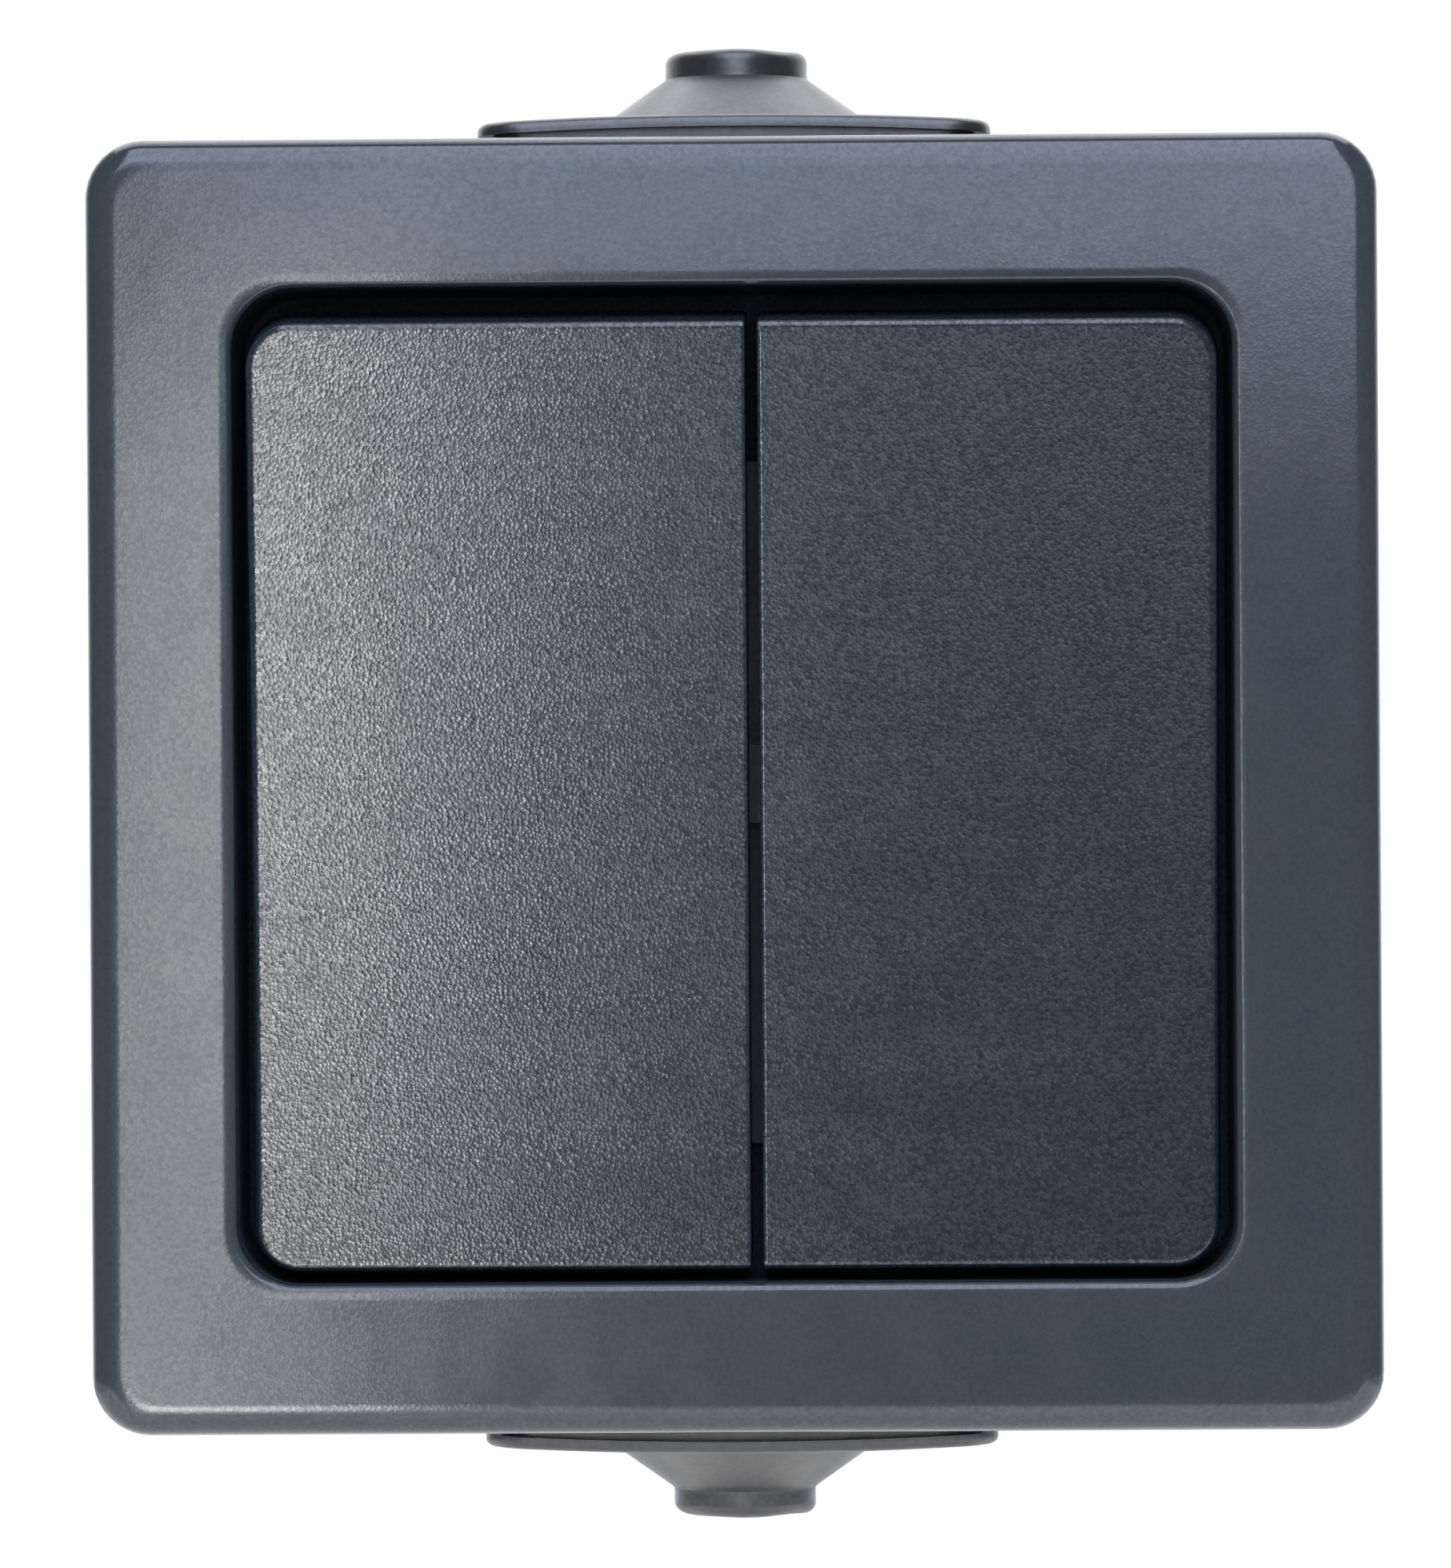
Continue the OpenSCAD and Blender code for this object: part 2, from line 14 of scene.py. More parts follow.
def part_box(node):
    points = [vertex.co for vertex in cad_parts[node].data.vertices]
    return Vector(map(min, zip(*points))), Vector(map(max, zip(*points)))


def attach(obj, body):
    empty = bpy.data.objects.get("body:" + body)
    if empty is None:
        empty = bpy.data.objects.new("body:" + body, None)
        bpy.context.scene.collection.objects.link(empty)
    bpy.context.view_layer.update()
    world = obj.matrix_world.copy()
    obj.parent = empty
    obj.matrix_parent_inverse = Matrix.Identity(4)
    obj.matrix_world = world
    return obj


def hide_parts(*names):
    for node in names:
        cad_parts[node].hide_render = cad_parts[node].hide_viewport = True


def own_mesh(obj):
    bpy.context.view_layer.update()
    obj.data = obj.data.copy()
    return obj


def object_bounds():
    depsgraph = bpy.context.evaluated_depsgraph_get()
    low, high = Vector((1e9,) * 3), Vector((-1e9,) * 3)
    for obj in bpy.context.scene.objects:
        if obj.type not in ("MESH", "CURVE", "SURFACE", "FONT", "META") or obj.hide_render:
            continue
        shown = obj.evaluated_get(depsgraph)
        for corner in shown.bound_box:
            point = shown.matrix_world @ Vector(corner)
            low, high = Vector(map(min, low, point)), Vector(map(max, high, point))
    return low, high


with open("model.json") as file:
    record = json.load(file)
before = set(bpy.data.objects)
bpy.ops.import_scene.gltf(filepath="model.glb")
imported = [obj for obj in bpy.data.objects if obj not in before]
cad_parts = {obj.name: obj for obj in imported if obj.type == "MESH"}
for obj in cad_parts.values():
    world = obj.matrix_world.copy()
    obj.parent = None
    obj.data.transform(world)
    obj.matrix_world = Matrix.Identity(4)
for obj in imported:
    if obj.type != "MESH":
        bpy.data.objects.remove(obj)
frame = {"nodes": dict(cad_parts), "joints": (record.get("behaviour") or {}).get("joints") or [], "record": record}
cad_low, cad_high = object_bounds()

MM = 0.001
LEFT = -1
RIGHT = 1
SIDE_NAME = {LEFT: "left", RIGHT: "right"}
CORNER_STEPS = 10
SIDE_STEPS = 30
ROUND_STEPS = 6
ZIP_START = CORNER_STEPS + SIDE_STEPS // 2
SHARP_CORNER = 0.05
SKIN = 0.5

joints = {joint["name"]: joint for joint in frame["joints"]}
slots = {part["node"]: part["material_slot"] for part in frame["record"]["subparts"]}
hinge_depth = -joints["left_rocker_hinge"]["pos_m"][1] / MM
unit_x = joints["right_rocker_hinge"]["pos_m"][0] / MM
rocker_tilt = math.radians(joints["left_rocker_hinge"]["range_deg"][1] / 2)
hinge = Vector((0, -hinge_depth * MM, 0))
lean = Matrix.Translation(hinge) @ Matrix.Rotation(rocker_tilt, 4, "X") @ Matrix.Translation(-hinge)


def span(node, axis):
    """The lowest and highest value of a CAD node along an axis, in millimetres."""
    low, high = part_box(node)
    return low[axis] / MM, high[axis] / MM


def depths(node):
    """The depths of a CAD node's back and front, in millimetres."""
    low, high = span(node, 1)
    return -high, -low


def width(node):
    """A CAD node's size along x, in millimetres."""
    low, high = span(node, 0)
    return high - low


def height(node):
    """A CAD node's size along z, in millimetres."""
    low, high = span(node, 2)
    return high - low


# ---- mesh building ----


def outline(x, z, radii):
    """Points once round a rectangle with round corners, in the XZ plane."""
    corners = [
        (x[1] - radii[0], z[1] - radii[0]),
        (x[0] + radii[1], z[1] - radii[1]),
        (x[0] + radii[2], z[0] + radii[2]),
        (x[1] - radii[3], z[0] + radii[3]),
    ]
    points = []
    for quarter, ((middle_x, middle_z), radius) in enumerate(zip(corners, radii)):
        for step in range(CORNER_STEPS + 1):
            turn = math.radians(90 * (quarter + step / CORNER_STEPS))
            points.append((middle_x + radius * math.cos(turn), middle_z + radius * math.sin(turn)))
        follower = (quarter + 1) % 4
        turn = math.radians(90 * (quarter + 1))
        goal = (
            corners[follower][0] + radii[follower] * math.cos(turn),
            corners[follower][1] + radii[follower] * math.sin(turn),
        )
        start = points[-1]
        for step in range(1, SIDE_STEPS):
            share = step / SIDE_STEPS
            points.append(
                (start[0] + (goal[0] - start[0]) * share, start[1] + (goal[1] - start[1]) * share)
            )
    return points


def rectangle(wide, high, radius):
    """The outline of a rectangle about the middle, with one corner radius."""
    return outline((-wide / 2, wide / 2), (-high / 2, high / 2), [max(radius, SHARP_CORNER)] * 4)


def at_depth(points, depth):
    """An outline placed at a depth, which is a number or a function of x and z."""
    if callable(depth):
        return [(x, -depth(x, z), z) for x, z in points]
    return [(x, -depth, z) for x, z in points]


def inset_ring(base, inset, corner, depth):
    """A rectangle drawn in by an inset on all sides, with the corner to match, at a depth."""
    return at_depth(rectangle(base[0] - 2 * inset, base[1] - 2 * inset, corner - inset), depth)


def loft(name, rings, ends="fan"):
    """A closed mesh through rings of equally many points.

    ends is fan for caps round a middle point, zip for caps of strips across an outline, or joined
    where the last ring meets the first.
    """
    count = len(rings[0])
    vertices = [Vector(point) * MM for ring in rings for point in ring]
    faces = []
    pairs = [(index, index + 1) for index in range(len(rings) - 1)]
    if ends == "joined":
        pairs.append((len(rings) - 1, 0))
    for first, second in pairs:
        for i in range(count):
            j = (i + 1) % count
            faces.append(
                (first * count + i, first * count + j, second * count + j, second * count + i)
            )
    for ring in (0, len(rings) - 1) if ends != "joined" else ():
        start = ring * count
        if ends == "fan":
            vertices.append(sum((vertices[start + i] for i in range(count)), Vector()) / count)
            for i in range(count):
                faces.append((start + i, start + (i + 1) % count, len(vertices) - 1))
        else:
            for step in range(count // 2):
                near, far = ZIP_START + step, ZIP_START - step
                corners = [near, near + 1, far - 1, far]
                face = [start + corner % count for corner in corners]
                faces.append(tuple(dict.fromkeys(face)))
    mesh = bpy.data.meshes.new(name)
    mesh.from_pydata(vertices, [], faces)
    face_outwards(mesh)
    made = bpy.data.objects.new(name, mesh)
    bpy.context.scene.collection.objects.link(made)
    return made


def face_outwards(mesh):
    """Turns every face of a closed mesh outwards."""
    work = bmesh.new()
    work.from_mesh(mesh)
    bmesh.ops.recalc_face_normals(work, faces=work.faces)
    work.to_mesh(mesh)
    work.free()


def block(x, depth, z, radius=SHARP_CORNER):
    """A box between two values of x, of depth and of z, with round upright corners."""
    points = outline(x, z, [radius] * 4)
    return loft("block", [at_depth(points, depth[0]), at_depth(points, depth[1])], "zip")


def turned(profile, middle, axis, steps=64):
    """A solid of rotation about a line through middle, along the axis depth or up.

    profile is a list of (radius, place along the axis). middle is (x, z) for depth, or (x, depth)
    for up.
    """
    rings = []
    for radius, place in profile:
        ring = []
        for step in range(steps):
            turn = 2 * math.pi * step / steps
            across, up = radius * math.cos(turn), radius * math.sin(turn)
            if axis == "depth":
                ring.append((middle[0] + across, -place, middle[1] + up))
            else:
                ring.append((middle[0] + across, -middle[1] + up, place))
        rings.append(ring)
    return loft("turned", rings)


def bore(radius, start, end, place):
    """A cylinder along the depth, between two depths, at (x, z)."""
    return turned([(radius, start), (radius, end)], place, "depth")


def combine(piece, others, operation):
    """Joins other solids to a piece, or cuts them out of it, and removes them."""
    for other in others:
        change = piece.modifiers.new("combine", "BOOLEAN")
        change.operation = operation
        change.solver = "EXACT"
        change.object = other
        shown = piece.evaluated_get(bpy.context.evaluated_depsgraph_get())
        mesh = bpy.data.meshes.new_from_object(shown)
        piece.modifiers.clear()
        piece.data = mesh
        bpy.data.objects.remove(other)
    return piece


def finish_piece(piece, body, material, nodes, sharp=32):
    """Smooths a piece, gives it its material, hangs it on the body it rides on and hides the CAD nodes it stands
    for.
    """
    for face in piece.data.polygons:
        face.use_smooth = True
    piece.data.set_sharp_from_angle(angle=math.radians(sharp))
    piece.data.materials.clear()
    piece.data.materials.append(material)
    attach(piece, body)
    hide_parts(*nodes)
    return piece


def round_steps(radius):
    """Steps along a quarter round as (distance in from the side, distance back from the front)."""
    steps = []
    for step in range(ROUND_STEPS + 1):
        turn = math.radians(90 * step / ROUND_STEPS)
        steps.append((radius * (1 - math.cos(turn)), radius * (1 - math.sin(turn))))
    return steps


# ---- materials ----

# Sizes and depths of the patterns, in metres.
WAVE_SIZE = 0.011
PATCH_SIZE = 0.0035
WAVE_DEPTH = 0.000004
DRAWN_LINE_SIZE = 0.0004
DRAWN_LINE_DEPTH = 0.000004
TARNISH_SIZE = 0.002

# How the patterns are mixed, and the ranges that they are read over.
BLEND_RANGE = (0.35, 0.65)
CHANCE_RANGE = (0.1, 0.9)
SIDE_FACING = (0.3, 0.6)
GRAIN_SHARE = 0.6
GLOSS_SPREAD = (0.9, 1.12)
TARNISH_SPREAD = (1.25, 0.85)

# What a shaded place adds to the roughness, and what it takes from the shine; the lost shine is painted shade.
MATTE_GAIN = 0.45
PAINTED_SHADE_SHINE_LOSS = 0.42

# The cover's well round the rockers is rougher and has painted shade (less shine) nearer the axis than this and
# behind this depth, in millimetres.
WELL_HALF = 25.6
WELL_FRONT = 44.0


class Graph:
    """A material's node tree, with its shader and one coordinate source in metres."""

    def __init__(self, name):
        self.material = bpy.data.materials.new(name)
        self.material.use_nodes = True
        self.tree = self.material.node_tree
        self.tree.nodes.clear()
        self.shader = self.node("ShaderNodeBsdfPrincipled")
        output = self.node("ShaderNodeOutputMaterial")
        self.link(self.shader.outputs["BSDF"], output.inputs["Surface"])
        coordinates = self.node("ShaderNodeTexCoord")
        self.place = coordinates.outputs["Object"]
        self.normal = coordinates.outputs["Normal"]

    def node(self, kind, **values):
        """A new node with some of its settings."""
        made = self.tree.nodes.new(kind)
        for key, value in values.items():
            setattr(made, key, value)
        return made

    def link(self, source, target):
        self.tree.links.new(source, target)

    def noise(self, size, detail, roughness=0.5, stretch=None):
        """Noise whose features are about size metres across."""
        made = self.node("ShaderNodeTexNoise")
        made.inputs["Scale"].default_value = 1 / size
        made.inputs["Detail"].default_value = detail
        made.inputs["Roughness"].default_value = roughness
        place = self.place
        if stretch:
            mapping = self.node("ShaderNodeMapping")
            mapping.inputs["Scale"].default_value = stretch
            self.link(place, mapping.inputs["Vector"])
            place = mapping.outputs["Vector"]
        self.link(place, made.inputs["Vector"])
        return made.outputs["Fac"]

    def sand(self, size):
        """Cells about size metres across: the distance from a cell's middle, and its random number."""
        made = self.node("ShaderNodeTexVoronoi")
        made.inputs["Scale"].default_value = 1 / size
        self.link(self.place, made.inputs["Vector"])
        return made.outputs["Distance"], made.outputs["Color"]

    def remap(self, source, low, high, start=0.3, end=0.7):
        """Maps the source's range from start to end onto low to high."""
        made = self.node("ShaderNodeMapRange")
        made.inputs["From Min"].default_value = start
        made.inputs["From Max"].default_value = end
        made.inputs["To Min"].default_value = low
        made.inputs["To Max"].default_value = high
        self.link(source, made.inputs["Value"])
        return made.outputs["Result"]

    def blend(self, source, first, second):
        """A colour between two, by the source."""
        ramp = self.node("ShaderNodeValToRGB")
        for element, position, colour in zip(ramp.color_ramp.elements, BLEND_RANGE, (first, second)):
            element.position = position
            element.color = (*colour, 1)
        self.link(source, ramp.inputs["Fac"])
        return ramp.outputs["Color"]

    def bump(self, source, depth, under=None):
        """A bump of the given depth in metres, on top of another if there is one."""
        made = self.node("ShaderNodeBump")
        made.inputs["Strength"].default_value = 1.0
        made.inputs["Distance"].default_value = depth
        self.link(source, made.inputs["Height"])
        if under is not None:
            self.link(under, made.inputs["Normal"])
        return made.outputs["Normal"]

    def math(self, operation, first, second=None, third=None):
        """A sum on numbers or on other nodes' outputs."""
        made = self.node("ShaderNodeMath", operation=operation)
        for socket, value in zip(made.inputs, (first, second, third)):
            if isinstance(value, bpy.types.NodeSocket):
                self.link(value, socket)
            elif value is not None:
                socket.default_value = value
        return made.outputs["Value"]

    def axis(self, vector, name):
        """The X, Y or Z of a vector."""
        made = self.node("ShaderNodeSeparateXYZ")
        self.link(vector, made.inputs["Vector"])
        return made.outputs[name]

    def within(self, half, depth):
        """1 nearer the axis than half and behind a depth, both in millimetres, and 0 elsewhere."""
        across = self.math("ABSOLUTE", self.axis(self.place, "X"))
        up = self.math("ABSOLUTE", self.axis(self.place, "Z"))
        near = self.math("LESS_THAN", self.math("MAXIMUM", across, up), half * MM)
        behind = self.math("GREATER_THAN", self.axis(self.place, "Y"), -depth * MM)
        return self.math("MULTIPLY", near, behind)

    def side_walls(self):
        """1 on the surfaces along the depth, and 0 on those that face the room."""
        facing = self.math("ABSOLUTE", self.axis(self.normal, "Y"))
        return self.remap(facing, 1.0, 0.0, *SIDE_FACING)

    def rough_and_painted_shade(self, where, roughness, shine):
        """Makes the surface rougher where a mask is 1, and paints shade there by taking away shine."""
        self.set("Roughness", self.math("MULTIPLY_ADD", where, MATTE_GAIN, roughness))
        self.set("Specular IOR Level", self.math("MULTIPLY_ADD", where, -PAINTED_SHADE_SHINE_LOSS, shine))

    def set(self, name, value):
        """Gives one of the shader's inputs a value or another node's output."""
        if isinstance(value, bpy.types.NodeSocket):
            self.link(value, self.shader.inputs[name])
        else:
            self.shader.inputs[name].default_value = value


def scaled(values, factor):
    """A colour, or a range, times a factor."""
    return tuple(value * factor for value in values)


def moulded(name, colour, roughness, grain, grain_depth, wave_depth=WAVE_DEPTH, mottle=0.1,
            sparkle=0.05, shine=0.5, painted_shade_mask=None):
    """Moulded plastic or rubber: a sandy grain, a slow waviness and an uneven gloss and tint.

    mottle is how much the tint differs, and sparkle how much the shine differs from grain to grain.
    The last argument may say where the surface is rougher and has painted shade, less shine: a function of the
    graph that returns a mask.
    """
    graph = Graph(name)
    slow = graph.noise(WAVE_SIZE, detail=3)
    patches = graph.noise(PATCH_SIZE, detail=4, roughness=0.6)
    grain_height, chance = graph.sand(grain)
    slow_part = graph.math("MULTIPLY", slow, 1 - GRAIN_SHARE)
    tone = graph.math("MULTIPLY_ADD", chance, GRAIN_SHARE, slow_part)
    graph.set("Base Color", graph.blend(tone, scaled(colour, 1 - mottle), scaled(colour, 1 + mottle)))
    gloss = graph.remap(patches, *scaled(GLOSS_SPREAD, roughness))
    shine = graph.remap(chance, shine - sparkle, shine + sparkle, *CHANCE_RANGE)
    # Where the mask is 1 the surface is rougher and its shine is cut: painted shade.
    graph.rough_and_painted_shade(painted_shade_mask(graph) if painted_shade_mask else 0.0, gloss, shine)
    wavy = graph.bump(slow, wave_depth)
    graph.set("Normal", graph.bump(grain_height, grain_depth, under=wavy))
    return graph.material


def metal(name, colour, roughness, brushed, tarnish):
    """Plated or stamped metal with fine drawing lines and slightly darker patches.

    brushed is how much the lines are squeezed along x, y and z, and tarnish is the darker patches'
    share of the colour.
    """
    graph = Graph(name)
    lines = graph.noise(DRAWN_LINE_SIZE, detail=3, stretch=brushed)
    patches = graph.noise(TARNISH_SIZE, detail=4, roughness=0.65)
    graph.set("Base Color", graph.blend(patches, scaled(colour, tarnish), colour))
    graph.set("Metallic", 1.0)
    graph.set("Roughness", graph.remap(patches, *scaled(TARNISH_SPREAD, roughness)))
    graph.set("Normal", graph.bump(lines, DRAWN_LINE_DEPTH))
    return graph.material


MATERIALS = {
    # The cover's well behind the rockers has painted shade: rougher, with its shine cut.
    "cover_plastic": moulded(
        "cover_plastic", (0.025, 0.032, 0.039), 0.12, 0.00016, 0.0000009, wave_depth=0.000024,
        mottle=0.06, sparkle=0.08, painted_shade_mask=lambda graph: graph.within(WELL_HALF, WELL_FRONT)
    ),
    # The rockers' side walls, down in the window and the split, have painted shade: rougher, with their shine cut.
    "rocker_plastic": moulded(
        "rocker_plastic", (0.009, 0.014, 0.020), 0.14, 0.00017, 0.0000036, mottle=0.2, sparkle=0.2,
        painted_shade_mask=lambda graph: graph.side_walls()
    ),
    "box_plastic": moulded("box_plastic", (0.028, 0.036, 0.045), 0.32, 0.0003, 0.000004),
    "grommet_rubber": moulded("grommet_rubber", (0.010, 0.011, 0.013), 0.32, 0.0003, 0.000004, shine=0.75),
    "seal_rubber": moulded("seal_rubber", (0.014, 0.015, 0.017), 0.55, 0.0003, 0.000006),
    "module_plastic": moulded("module_plastic", (0.022, 0.022, 0.023), 0.42, 0.00025, 0.000005),
    "actuator_plastic": moulded("actuator_plastic", (0.62, 0.58, 0.50), 0.36, 0.0003, 0.000004, mottle=0.04),
    "plunger_plastic": moulded("plunger_plastic", (0.75, 0.74, 0.70), 0.25, 0.0003, 0.000002, mottle=0.03),
    "steel": metal("steel", (0.60, 0.61, 0.62), 0.28, (1, 1, 12), 0.82),
    "brass": metal("brass", (0.72, 0.50, 0.20), 0.26, (1, 12, 1), 0.78),
    "silver_tip": metal("silver_tip", (0.82, 0.82, 0.80), 0.22, (6, 1, 6), 0.85),
}

# ---- cover frame ----

COVER_CORNER = 3.0
COVER_EDGE = 1.15
WINDOW = (51.0, 50.9)
WINDOW_CORNER = 3.1
WINDOW_LIP = 0.35
LEDGE_FRONT = 36.5
LEDGE_BACK = 34.5
OPENING = (46.3, 33.1)
OPENING_CORNER = 1.2
PLATE_BACK = 42.0
SKIRT_WALL = 1.5
WELL_WALL = 1.5
COVER_SCREW = (15.0, 19.7)
COVER_SCREW_HOLE = 1.7
COVER_BACK_BEVEL = 0.25
SIDE_RING_INSET = 3
FACE_RING_SHARES = (0.08, 0.3, 0.55, 0.8, 0.93)
WELL_FILLET = 0.4
WELL_FILLET_MIDDLE = 0.12
LEDGE_BEVEL = 0.2


def cover_screw_place(side):
    """The x and z of the cover screw on one side."""
    return side * COVER_SCREW[0], -side * COVER_SCREW[1]


def build_cover_frame():
    """The frame's front and skirt, with the well round the rockers, as one loft round the section."""
    back, front = depths("cover_frame")
    size = (width("cover_frame"), height("cover_frame"))
    rings = [
        inset_ring(size, COVER_BACK_BEVEL, COVER_CORNER, back),
        inset_ring(size, 0, COVER_CORNER, back + COVER_BACK_BEVEL),
    ]
    for depth in (back + SIDE_RING_INSET, front - COVER_EDGE - SIDE_RING_INSET):
        rings.append(inset_ring(size, 0, COVER_CORNER, depth))
    for inset, fall in round_steps(COVER_EDGE):
        rings.append(inset_ring(size, inset, COVER_CORNER, front - fall))
    lip_out = tuple(side + 2 * WINDOW_LIP for side in WINDOW)
    inner = (lip_out[0], lip_out[1], WINDOW_CORNER + WINDOW_LIP)
    outer = (size[0] - 2 * COVER_EDGE, size[1] - 2 * COVER_EDGE, COVER_CORNER - COVER_EDGE)
    for share in FACE_RING_SHARES:
        mix = [a + (b - a) * share for a, b in zip(outer, inner)]
        rings.append(at_depth(rectangle(*mix), front))
    for inset, fall in reversed(round_steps(WINDOW_LIP)):
        rings.append(inset_ring(WINDOW, -inset, WINDOW_CORNER, front - fall))
    well_out = tuple(side + 2 * WELL_WALL for side in WINDOW)
    well_corner = WINDOW_CORNER + WELL_WALL
    skirt_in = tuple(side - 2 * SKIRT_WALL for side in size)
    skirt_corner = COVER_CORNER - SKIRT_WALL / 2
    for base, inset, corner, depth in (
        (WINDOW, 0, WINDOW_CORNER, LEDGE_FRONT + WELL_FILLET),
        (WINDOW, WELL_FILLET_MIDDLE, WINDOW_CORNER, LEDGE_FRONT + WELL_FILLET_MIDDLE),
        (WINDOW, WELL_FILLET, WINDOW_CORNER, LEDGE_FRONT),
        (OPENING, -LEDGE_BEVEL, OPENING_CORNER, LEDGE_FRONT),
        (OPENING, 0, OPENING_CORNER, LEDGE_FRONT - LEDGE_BEVEL),
        (OPENING, 0, OPENING_CORNER, LEDGE_BACK),
        (well_out, LEDGE_BEVEL, well_corner, LEDGE_BACK),
        (well_out, 0, well_corner, LEDGE_BACK + LEDGE_BEVEL),
        (well_out, 0, well_corner, PLATE_BACK),
        (skirt_in, 0, skirt_corner, PLATE_BACK),
        (skirt_in, 0, skirt_corner, back),
    ):
        rings.append(inset_ring(base, inset, corner, depth))
    cover = loft("cover_shell", rings, "joined")
    holes = [
        bore(COVER_SCREW_HOLE, LEDGE_BACK - SKIN, LEDGE_FRONT + SKIN, cover_screw_place(side))
        for side in (LEFT, RIGHT)
    ]
    combine(cover, holes, "DIFFERENCE")
    finish_piece(cover, "housing", MATERIALS["cover_plastic"], ["cover_frame"])


# ---- rockers ----

ROCKERS_WIDTH = 49.3
ROCKER_HEIGHT = 48.5
# The split is drawn a little narrower and further right than in the CAD.
SPLIT_X = 1.03
SPLIT_GAP = 0.6
ROCKER_FRONT = 45.3
ROCKER_DISH = 0.7
ROCKER_CORNER = 2.3
ROCKER_INNER_CORNER = 0.2
ROCKER_EDGE = 0.3
INNER_EDGE_SHARE = 0.25
ROCKER_FLARE = 0.3
ROCKER_SKIRT = 6.6
ROCKER_INNER_SKIRT = 5.2
ROCKER_WALL = 1.5
ROCKER_UNDER = 42.9
FACE_RING_GAP = 0.9
EDGE_RING_GAP = 0.15
PRONG_Z = 6.5
PRONG = (5.0, 1.6)
PRONG_FRONT = 42.2
SOCKET_WALL = 1.4
SOCKET_BACK = 40.9
SOCKET_CORNER = 0.4
ROCKER_BACK_BEVEL = 0.15
FLARE_END = (0.03, 1.4)
LAST_RING_INSET = 0.15
CAVITY_CORNER = 0.8
NOTCH_REACH = 1.0
NOTCH_OVERLAP = 0.3
NOTCH_CORNER = 0.3
SMALLEST_CORNER = 0.1
FIT = 0.05


def dish(x, z):
    """Depth of a level rocker's hollow face."""
    radius = ((ROCKER_HEIGHT / 2) ** 2 + ROCKER_DISH**2) / (2 * ROCKER_DISH)
    return ROCKER_FRONT - ROCKER_DISH + radius - math.sqrt(radius**2 - z**2)


def rocker_outline(side, grow, inset=0.0):
    """A rocker's outline, grown outwards on its three outer sides, or drawn in on all four."""
    inner_inset = inset - (1 - INNER_EDGE_SHARE) * min(inset, ROCKER_EDGE)
    inner = SPLIT_X + side * (SPLIT_GAP / 2 + inner_inset)
    outer = side * (ROCKERS_WIDTH / 2 + grow - inset)
    top = ROCKER_HEIGHT / 2 + grow - inset
    big = max(ROCKER_CORNER - inset, SMALLEST_CORNER)
    small = max(ROCKER_INNER_CORNER - inset, SMALLEST_CORNER)
    radii = [small, big, big, small] if side == LEFT else [big, small, small, big]
    return outline((min(inner, outer), max(inner, outer)), (-top, top), radii)


def prong_block(side, z, margin, depth, radius=SHARP_CORNER):
    """A block round one of the actuator's two prongs, larger than the prong by a margin."""
    middle = side * unit_x
    half_x, half_z = PRONG[0] / 2 + margin, PRONG[1] / 2 + margin
    return block((middle - half_x, middle + half_x), depth, (z - half_z, z + half_z), radius)


def build_rocker(side):
    """A hollow cap with a dished face, built level and then leaned about its hinge."""
    name = SIDE_NAME[side]
    inner = SPLIT_X + side * SPLIT_GAP / 2
    outer = side * ROCKERS_WIDTH / 2
    back = ROCKER_FRONT - ROCKER_SKIRT
    rings = [
        at_depth(rocker_outline(side, ROCKER_FLARE - ROCKER_BACK_BEVEL), back),
        at_depth(rocker_outline(side, ROCKER_FLARE), back + ROCKER_BACK_BEVEL),
        at_depth(rocker_outline(side, FLARE_END[0]), ROCKER_FRONT - FLARE_END[1]),
    ]
    for inset, fall in round_steps(ROCKER_EDGE):
        rings.append(at_depth(rocker_outline(side, 0, inset), lambda x, z, f=fall: dish(x, z) - f))
    inset = ROCKER_EDGE + EDGE_RING_GAP
    limit = abs(outer - inner) / 2 - LAST_RING_INSET
    while inset < limit:
        rings.append(at_depth(rocker_outline(side, 0, inset), dish))
        inset += FACE_RING_GAP
    rings.append(at_depth(rocker_outline(side, 0, limit), dish))
    rocker = loft(name + "_rocker_cap", rings, "zip")
    cavity_x = sorted((inner + side * ROCKER_WALL, outer - side * ROCKER_WALL))
    cavity_z = ROCKER_HEIGHT / 2 - ROCKER_WALL
    cavity = block(cavity_x, (back - SKIN, ROCKER_UNDER), (-cavity_z, cavity_z), CAVITY_CORNER)
    notch = block(
        sorted((inner - side * NOTCH_REACH, inner + side * (ROCKER_WALL + NOTCH_OVERLAP))),
        (back - SKIN, ROCKER_FRONT - ROCKER_INNER_SKIRT),
        (-cavity_z, cavity_z),
        NOTCH_CORNER,
    )
    combine(rocker, [cavity, notch], "DIFFERENCE")
    sockets, prong_slots = [], []
    for z in (-PRONG_Z, PRONG_Z):
        socket_depth = (SOCKET_BACK, ROCKER_UNDER + SKIN)
        sockets.append(prong_block(side, z, SOCKET_WALL, socket_depth, SOCKET_CORNER))
        prong_slots.append(prong_block(side, z, FIT, (SOCKET_BACK - SKIN, PRONG_FRONT + FIT)))
    combine(rocker, sockets, "UNION")
    combine(rocker, prong_slots, "DIFFERENCE")
    rocker.data.transform(lean)
    finish_piece(rocker, name + "_switch", MATERIALS["rocker_plastic"], [name + "_rocker"])


# ---- springs ----

SPRING_BACK = 30.0
SPRING_FRONT = 34.2
SPRING_RADIUS = 1.42
SPRING_TURNS = 5
SPRING_STEPS = 36
CLOSED_TURNS = 0.9
CLOSED_PITCH = 0.48
WIRE_RADIUS = 0.23
WIRE_SIDES = 12


